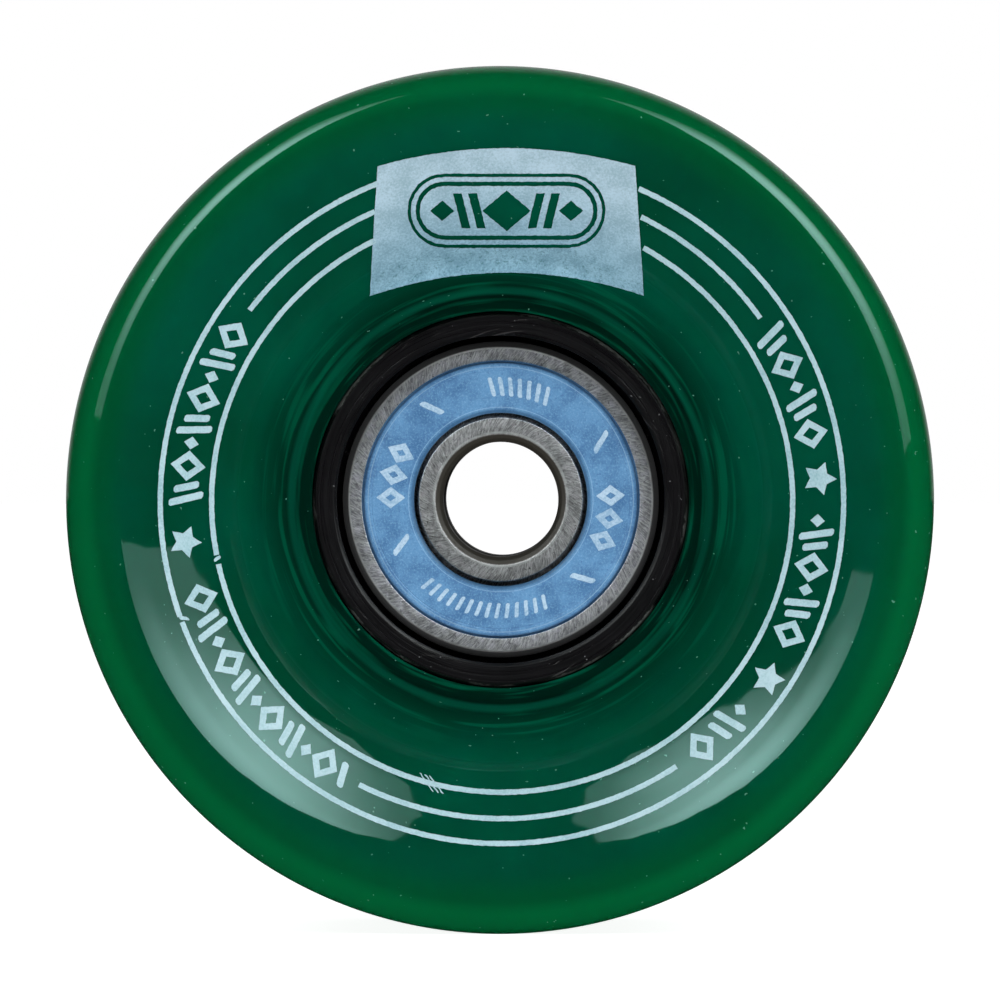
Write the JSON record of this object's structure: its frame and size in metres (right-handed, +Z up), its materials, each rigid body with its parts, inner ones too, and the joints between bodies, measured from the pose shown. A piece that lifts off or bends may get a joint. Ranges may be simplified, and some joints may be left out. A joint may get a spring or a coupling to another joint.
{
  "type": "skateboard wheel with bearings",
  "caption": "Wide green cruiser skateboard wheel with rounded lips and dished faces on a black core, with sealed ball bearings and a spacer for an 8 mm axle.",
  "frame": {"origin": "centre of the wheel, on the axle line, midway between its faces", "axes": "+Y along the axle line away from the printed face, +Z up, +X to the right of someone who faces the printed side"},
  "size_m": [0.06, 0.045, 0.06],
  "materials": {
    "tyre": "glossy, slightly translucent cast urethane, deep green",
    "core": "moulded black plastic, semi-gloss",
    "bearing_spacer": "plain turned",
    "race": "ground bearing steel, fine scratches",
    "ball_cage": "natural nylon",
    "ball": "polished bearing steel",
    "seal": "satin moulded rubber, blue",
    "print": "pad-printed ink, pale blue-white, slightly stippled",
    "seal_insert": "stamped sheet steel"
  },
  "bodies": {
    "axle_side": {"bearing_spacer": "bearing_spacer", "front_inner_race": "race", "rear_inner_race": "race"},
    "wheel": {"tyre": "tyre", "core": "core", "front_outer_race": "race", "front_outboard_seal": "seal", "front_inboard_seal": "seal", "front_outboard_seal_insert": "seal_insert", "front_inboard_seal_insert": "seal_insert", "rear_outer_race": "race", "rear_outboard_seal": "seal", "rear_inboard_seal": "seal", "rear_outboard_seal_insert": "seal_insert", "rear_inboard_seal_insert": "seal_insert"},
    "front_cage": {"front_ball_cage": "ball_cage"},
    "front_ball_1": {"front_ball_1": "ball"},
    "front_ball_2": {"front_ball_2": "ball"},
    "front_ball_3": {"front_ball_3": "ball"},
    "front_ball_4": {"front_ball_4": "ball"},
    "front_ball_5": {"front_ball_5": "ball"},
    "front_ball_6": {"front_ball_6": "ball"},
    "front_ball_7": {"front_ball_7": "ball"},
    "rear_cage": {"rear_ball_cage": "ball_cage"},
    "rear_ball_1": {"rear_ball_1": "ball"},
    "rear_ball_2": {"rear_ball_2": "ball"},
    "rear_ball_3": {"rear_ball_3": "ball"},
    "rear_ball_4": {"rear_ball_4": "ball"},
    "rear_ball_5": {"rear_ball_5": "ball"},
    "rear_ball_6": {"rear_ball_6": "ball"},
    "rear_ball_7": {"rear_ball_7": "ball"}
  },
  "joints": [
    {"name": "wheel_spin", "type": "hinge", "parent": "axle_side", "child": "wheel", "pos_m": [0, 0, 0], "axis": [0, 1, 0], "continuous": true},
    {"name": "front_cage_spin", "type": "hinge", "parent": "axle_side", "child": "front_cage", "pos_m": [0, -0.0085, 0], "axis": [0, 1, 0], "continuous": true},
    {"name": "front_ball_1_spin", "type": "hinge", "parent": "front_cage", "child": "front_ball_1", "pos_m": [0, -0.0085, 0.0075], "axis": [0, 1, 0], "continuous": true},
    {"name": "front_ball_2_spin", "type": "hinge", "parent": "front_cage", "child": "front_ball_2", "pos_m": [0.00586, -0.0085, 0.00468], "axis": [0, 1, 0], "continuous": true},
    {"name": "front_ball_3_spin", "type": "hinge", "parent": "front_cage", "child": "front_ball_3", "pos_m": [0.00731, -0.0085, -0.00167], "axis": [0, 1, 0], "continuous": true},
    {"name": "front_ball_4_spin", "type": "hinge", "parent": "front_cage", "child": "front_ball_4", "pos_m": [0.00325, -0.0085, -0.00676], "axis": [0, 1, 0], "continuous": true},
    {"name": "front_ball_5_spin", "type": "hinge", "parent": "front_cage", "child": "front_ball_5", "pos_m": [-0.00325, -0.0085, -0.00676], "axis": [0, 1, 0], "continuous": true},
    {"name": "front_ball_6_spin", "type": "hinge", "parent": "front_cage", "child": "front_ball_6", "pos_m": [-0.00731, -0.0085, -0.00167], "axis": [0, 1, 0], "continuous": true},
    {"name": "front_ball_7_spin", "type": "hinge", "parent": "front_cage", "child": "front_ball_7", "pos_m": [-0.00586, -0.0085, 0.00468], "axis": [0, 1, 0], "continuous": true},
    {"name": "rear_cage_spin", "type": "hinge", "parent": "axle_side", "child": "rear_cage", "pos_m": [0, 0.0085, 0], "axis": [0, 1, 0], "continuous": true},
    {"name": "rear_ball_1_spin", "type": "hinge", "parent": "rear_cage", "child": "rear_ball_1", "pos_m": [0, 0.0085, 0.0075], "axis": [0, 1, 0], "continuous": true},
    {"name": "rear_ball_2_spin", "type": "hinge", "parent": "rear_cage", "child": "rear_ball_2", "pos_m": [0.00586, 0.0085, 0.00468], "axis": [0, 1, 0], "continuous": true},
    {"name": "rear_ball_3_spin", "type": "hinge", "parent": "rear_cage", "child": "rear_ball_3", "pos_m": [0.00731, 0.0085, -0.00167], "axis": [0, 1, 0], "continuous": true},
    {"name": "rear_ball_4_spin", "type": "hinge", "parent": "rear_cage", "child": "rear_ball_4", "pos_m": [0.00325, 0.0085, -0.00676], "axis": [0, 1, 0], "continuous": true},
    {"name": "rear_ball_5_spin", "type": "hinge", "parent": "rear_cage", "child": "rear_ball_5", "pos_m": [-0.00325, 0.0085, -0.00676], "axis": [0, 1, 0], "continuous": true},
    {"name": "rear_ball_6_spin", "type": "hinge", "parent": "rear_cage", "child": "rear_ball_6", "pos_m": [-0.00731, 0.0085, -0.00167], "axis": [0, 1, 0], "continuous": true},
    {"name": "rear_ball_7_spin", "type": "hinge", "parent": "rear_cage", "child": "rear_ball_7", "pos_m": [-0.00586, 0.0085, 0.00468], "axis": [0, 1, 0], "continuous": true}
  ],
  "couplings": [
    {"joint": "front_cage_spin", "follows": "wheel_spin", "ratio": 0.63227},
    {"joint": "front_ball_1_spin", "follows": "wheel_spin", "ratio": 1.7578},
    {"joint": "front_ball_2_spin", "follows": "wheel_spin", "ratio": 1.7578},
    {"joint": "front_ball_3_spin", "follows": "wheel_spin", "ratio": 1.7578},
    {"joint": "front_ball_4_spin", "follows": "wheel_spin", "ratio": 1.7578},
    {"joint": "front_ball_5_spin", "follows": "wheel_spin", "ratio": 1.7578},
    {"joint": "front_ball_6_spin", "follows": "wheel_spin", "ratio": 1.7578},
    {"joint": "front_ball_7_spin", "follows": "wheel_spin", "ratio": 1.7578},
    {"joint": "rear_cage_spin", "follows": "wheel_spin", "ratio": 0.63227},
    {"joint": "rear_ball_1_spin", "follows": "wheel_spin", "ratio": 1.7578},
    {"joint": "rear_ball_2_spin", "follows": "wheel_spin", "ratio": 1.7578},
    {"joint": "rear_ball_3_spin", "follows": "wheel_spin", "ratio": 1.7578},
    {"joint": "rear_ball_4_spin", "follows": "wheel_spin", "ratio": 1.7578},
    {"joint": "rear_ball_5_spin", "follows": "wheel_spin", "ratio": 1.7578},
    {"joint": "rear_ball_6_spin", "follows": "wheel_spin", "ratio": 1.7578},
    {"joint": "rear_ball_7_spin", "follows": "wheel_spin", "ratio": 1.7578}
  ]
}
